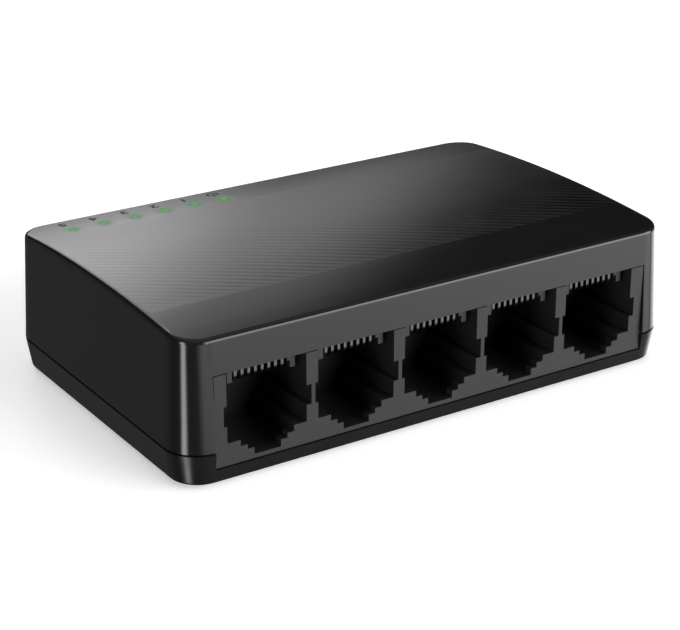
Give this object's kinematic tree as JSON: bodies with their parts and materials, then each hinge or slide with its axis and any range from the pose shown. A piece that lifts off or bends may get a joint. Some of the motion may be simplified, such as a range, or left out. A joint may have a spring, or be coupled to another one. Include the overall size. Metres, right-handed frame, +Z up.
{
  "type": "desktop network switch",
  "caption": "Small black plastic network switch with a crowned top, a row of network ports along one side, status lights and a barrel power inlet.",
  "frame": {"origin": "centre of the case outline, on the surface the feet stand on", "axes": "+X along the row of ports, towards the power inlet; -Y is the way the ports face; +Z up"},
  "size_m": [0.0824, 0.052, 0.0223],
  "materials": {
    "case_black": "fine satin moulding, hatched band on the top",
    "port_black": "smooth satin moulding",
    "foot_rubber": "matt rubber",
    "screw_steel": "black-zinc plated steel",
    "board_green": "green solder mask over glass laminate",
    "chip_black": "moulded epoxy",
    "transformer_black": "moulded epoxy",
    "ferrite_grey": "ferrite",
    "can_metal": "satin can",
    "tinned_metal": "tin plate",
    "contact_metal": "dull pale plating over spring bronze",
    "ceramic_tan": "fired ceramic",
    "led_lens": "clear resin",
    "light_green": "clear acrylic, lit green from below"
  },
  "bodies": {
    "case": {"upper_shell": "case_black", "base_tray": "case_black", "rubber_feet": "foot_rubber", "case_screws": "screw_steel", "port_housing": "port_black", "circuit_board": "board_green", "switch_chip": "chip_black", "switch_chip_pins": "tinned_metal", "transformer_pins": "tinned_metal", "voltage_regulator": "chip_black", "power_inductor": "ferrite_grey", "crystal": "can_metal", "electrolytic_capacitors": "can_metal", "ceramic_capacitors": "ceramic_tan", "chip_resistors": "chip_black", "status_leds": "led_lens", "light_guide": "light_green", "power_inlet_body": "port_black", "power_inlet_pin": "tinned_metal", "power_inlet_terminal": "tinned_metal", "contact_carrier_1": "port_black", "contact_leads_1": "contact_metal", "transformer_1": "transformer_black", "contact_carrier_2": "port_black", "contact_leads_2": "contact_metal", "transformer_2": "transformer_black", "contact_carrier_3": "port_black", "contact_leads_3": "contact_metal", "transformer_3": "transformer_black", "contact_carrier_4": "port_black", "contact_leads_4": "contact_metal", "transformer_4": "transformer_black", "contact_carrier_5": "port_black", "contact_leads_5": "contact_metal", "transformer_5": "transformer_black"},
    "springs_1": {"contact_springs_1": "contact_metal"},
    "springs_2": {"contact_springs_2": "contact_metal"},
    "springs_3": {"contact_springs_3": "contact_metal"},
    "springs_4": {"contact_springs_4": "contact_metal"},
    "springs_5": {"contact_springs_5": "contact_metal"},
    "inlet_leaf": {"power_inlet_leaf": "tinned_metal"}
  },
  "joints": [
    {"name": "contact_flex_1", "type": "hinge", "parent": "case", "child": "springs_1", "pos_m": [-0.02814, -0.0226, 0.015], "axis": [1, 0, 0], "range_deg": [0, 13], "stiffness_Nm_per_rad": 0.25},
    {"name": "contact_flex_2", "type": "hinge", "parent": "case", "child": "springs_2", "pos_m": [-0.01417, -0.0226, 0.015], "axis": [1, 0, 0], "range_deg": [0, 13], "stiffness_Nm_per_rad": 0.25},
    {"name": "contact_flex_3", "type": "hinge", "parent": "case", "child": "springs_3", "pos_m": [-0.0002, -0.0226, 0.015], "axis": [1, 0, 0], "range_deg": [0, 13], "stiffness_Nm_per_rad": 0.25},
    {"name": "contact_flex_4", "type": "hinge", "parent": "case", "child": "springs_4", "pos_m": [0.01377, -0.0226, 0.015], "axis": [1, 0, 0], "range_deg": [0, 13], "stiffness_Nm_per_rad": 0.25},
    {"name": "contact_flex_5", "type": "hinge", "parent": "case", "child": "springs_5", "pos_m": [0.02774, -0.0226, 0.015], "axis": [1, 0, 0], "range_deg": [0, 13], "stiffness_Nm_per_rad": 0.25},
    {"name": "inlet_leaf_flex", "type": "hinge", "parent": "case", "child": "inlet_leaf", "pos_m": [0.0301, 0.016, 0.00605], "axis": [0, 1, 0], "range_deg": [0, 3], "stiffness_Nm_per_rad": 0.7}
  ]
}
